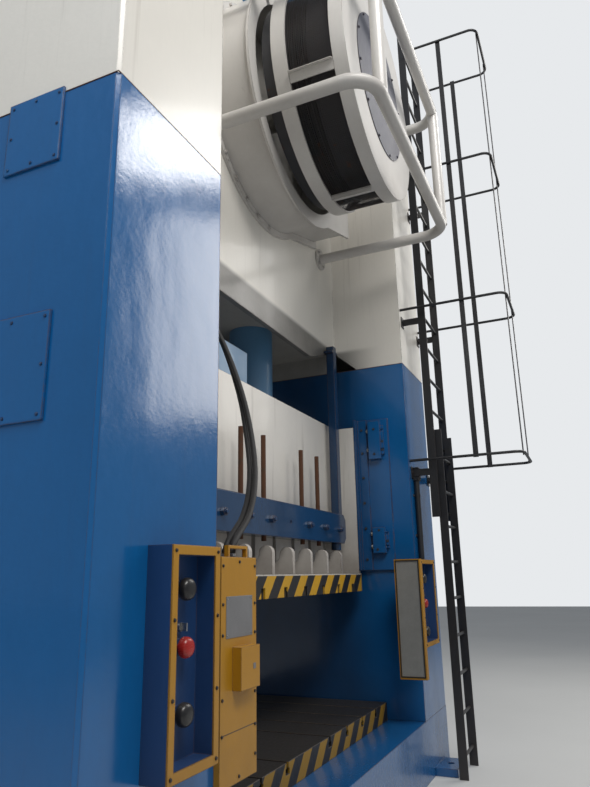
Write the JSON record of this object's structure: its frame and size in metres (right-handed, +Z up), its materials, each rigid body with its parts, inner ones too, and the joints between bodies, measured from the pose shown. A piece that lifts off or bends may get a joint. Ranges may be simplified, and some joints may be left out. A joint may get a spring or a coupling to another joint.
{
  "type": "mechanical stamping press",
  "caption": "Straight-side mechanical stamping press: box uprights, a slide driven by eccentric gears in the crown, a guarded flywheel, hand control boxes and a caged access ladder.",
  "frame": {"origin": "middle of the bed's underside, on the floor", "axes": "+Z up, -Y towards the operator's side with the flywheel and ladder, +X to the operator's right"},
  "size_m": [4.74, 3.347, 7.05],
  "materials": {
    "blue_paint": "gloss, worn",
    "cream_paint": "gloss, worn",
    "light_blue_paint": "gloss",
    "hazard_paint": "slanted black and yellow stripes",
    "yellow_paint": "gloss",
    "black_paint": "satin",
    "machined_steel": "ground, oiled",
    "table_steel": "dark, worn",
    "rusty_steel": "rusty",
    "dark_iron": "cast",
    "gear_steel": "oiled",
    "grey_plastic": "satin",
    "window_plastic": "smooth",
    "black_plastic": "gloss",
    "red_plastic": "gloss",
    "black_rubber": "matte"
  },
  "bodies": {
    "frame": {"bed": "blue_paint", "foot_lugs": "blue_paint", "bolster_plate": "table_steel", "left_upright": "blue_paint", "right_upright": "blue_paint", "crown": "cream_paint", "crown_towers": "cream_paint", "tie_rods": "dark_iron", "tie_rod_nuts": "dark_iron", "side_covers": "blue_paint", "gib_plates": "blue_paint", "gib_blocks": "light_blue_paint", "gib_screws": "machined_steel", "knockout_beam": "blue_paint", "knockout_rods": "rusty_steel", "clamp_bolts": "blue_paint", "hanger_tubes": "blue_paint", "drum_housing": "cream_paint", "guard_frame": "cream_paint", "guard_mesh": "black_paint", "guard_disc": "grey_plastic", "guard_rail": "cream_paint", "motor": "light_blue_paint", "drive_belts": "black_rubber", "gear_pins": "machined_steel", "left_control_box": "blue_paint", "right_control_box": "blue_paint", "box_frames": "yellow_paint", "curtain_boxes": "yellow_paint", "curtain_windows": "window_plastic", "upper_ladder": "black_paint", "upper_rungs": "black_paint", "lower_ladder": "black_paint", "cage": "black_paint", "conduit": "black_paint", "hoses": "black_rubber"},
    "slide": {"slide_body": "cream_paint", "slide_plate": "hazard_paint", "adjuster_plate": "light_blue_paint", "adjuster_housing": "light_blue_paint", "left_plunger": "light_blue_paint", "right_plunger": "light_blue_paint"},
    "knockout": {"knockout_bars": "cream_paint"},
    "right_eccentric": {"right_gear": "gear_steel"},
    "left_eccentric": {"left_gear": "gear_steel"},
    "right_rod": {"right_con_rod": "gear_steel"},
    "left_rod": {"left_con_rod": "gear_steel"},
    "shaft": {"drive_shaft": "machined_steel", "pinion": "gear_steel", "clutch_disc": "gear_steel"},
    "flywheel": {"flywheel": "dark_iron"},
    "motor_pulley": {"motor_pulley": "dark_iron"},
    "left_upper_palm": {"left_upper_palm": "black_plastic"},
    "left_lower_palm": {"left_lower_palm": "black_plastic"},
    "left_mushroom": {"left_mushroom": "red_plastic"},
    "left_key": {"left_key": "machined_steel"},
    "right_upper_palm": {"right_upper_palm": "black_plastic"},
    "right_lower_palm": {"right_lower_palm": "black_plastic"},
    "right_mushroom": {"right_mushroom": "red_plastic"},
    "right_key": {"right_key": "machined_steel"}
  },
  "joints": [
    {"name": "slide_stroke", "type": "slide", "parent": "frame", "child": "slide", "axis": [0, 0, 1], "range_m": [-0.2, 0]},
    {"name": "knockout_lift", "type": "slide", "parent": "slide", "child": "knockout", "axis": [0, 0, 1], "range_m": [0, 0.025]},
    {"name": "right_gear_turn", "type": "hinge", "parent": "frame", "child": "right_eccentric", "pos_m": [0.76, 0, 4.45982], "axis": [0, 1, 0], "range_deg": [0, 180.01]},
    {"name": "left_gear_turn", "type": "hinge", "parent": "frame", "child": "left_eccentric", "pos_m": [-0.76, 0, 4.45982], "axis": [0, 1, 0], "range_deg": [-180.01, 0]},
    {"name": "right_rod_swing", "type": "hinge", "parent": "right_eccentric", "child": "right_rod", "pos_m": [0.76, 0, 4.55982], "axis": [0, 1, 0], "range_deg": [-180.01, 0]},
    {"name": "left_rod_swing", "type": "hinge", "parent": "left_eccentric", "child": "left_rod", "pos_m": [-0.76, 0, 4.55982], "axis": [0, 1, 0], "range_deg": [0, 180.01]},
    {"name": "drive_shaft_turn", "type": "hinge", "parent": "frame", "child": "shaft", "pos_m": [0.12, 0, 5.09], "axis": [0, 1, 0], "range_deg": [-990.1, 0]},
    {"name": "flywheel_spin", "type": "hinge", "parent": "frame", "child": "flywheel", "pos_m": [0.12, -1.09, 5.09], "axis": [0, 1, 0], "continuous": true},
    {"name": "motor_pulley_spin", "type": "hinge", "parent": "frame", "child": "motor_pulley", "pos_m": [0.12, -1, 6.38], "axis": [0, 1, 0], "continuous": true},
    {"name": "left_upper_palm_press", "type": "slide", "parent": "frame", "child": "left_upper_palm", "axis": [0, 1, 0], "range_m": [0, 0.006], "stiffness_N_per_m": 1500},
    {"name": "left_lower_palm_press", "type": "slide", "parent": "frame", "child": "left_lower_palm", "axis": [0, 1, 0], "range_m": [0, 0.006], "stiffness_N_per_m": 1500},
    {"name": "left_mushroom_press", "type": "slide", "parent": "frame", "child": "left_mushroom", "axis": [0, 1, 0], "range_m": [0, 0.006], "stiffness_N_per_m": 1500},
    {"name": "left_key_turn", "type": "hinge", "parent": "frame", "child": "left_key", "pos_m": [-1.91, -1.125, 1.387], "axis": [0, 1, 0], "range_deg": [0, 90]},
    {"name": "right_upper_palm_press", "type": "slide", "parent": "frame", "child": "right_upper_palm", "axis": [0, 1, 0], "range_m": [0, 0.006], "stiffness_N_per_m": 1500},
    {"name": "right_lower_palm_press", "type": "slide", "parent": "frame", "child": "right_lower_palm", "axis": [0, 1, 0], "range_m": [0, 0.006], "stiffness_N_per_m": 1500},
    {"name": "right_mushroom_press", "type": "slide", "parent": "frame", "child": "right_mushroom", "axis": [0, 1, 0], "range_m": [0, 0.006], "stiffness_N_per_m": 1500},
    {"name": "right_key_turn", "type": "hinge", "parent": "frame", "child": "right_key", "pos_m": [1.6, -1.125, 1.387], "axis": [0, 1, 0], "range_deg": [0, 90]}
  ],
  "couplings": [
    {"joint": "right_gear_turn", "follows": "slide_stroke", "rad_per_m": -15.708},
    {"joint": "left_gear_turn", "follows": "slide_stroke", "rad_per_m": 15.708},
    {"joint": "right_rod_swing", "follows": "slide_stroke", "rad_per_m": 15.708},
    {"joint": "left_rod_swing", "follows": "slide_stroke", "rad_per_m": -15.708},
    {"joint": "drive_shaft_turn", "follows": "slide_stroke", "rad_per_m": 86.394},
    {"joint": "motor_pulley_spin", "follows": "flywheel_spin", "ratio": 5.4718}
  ]
}
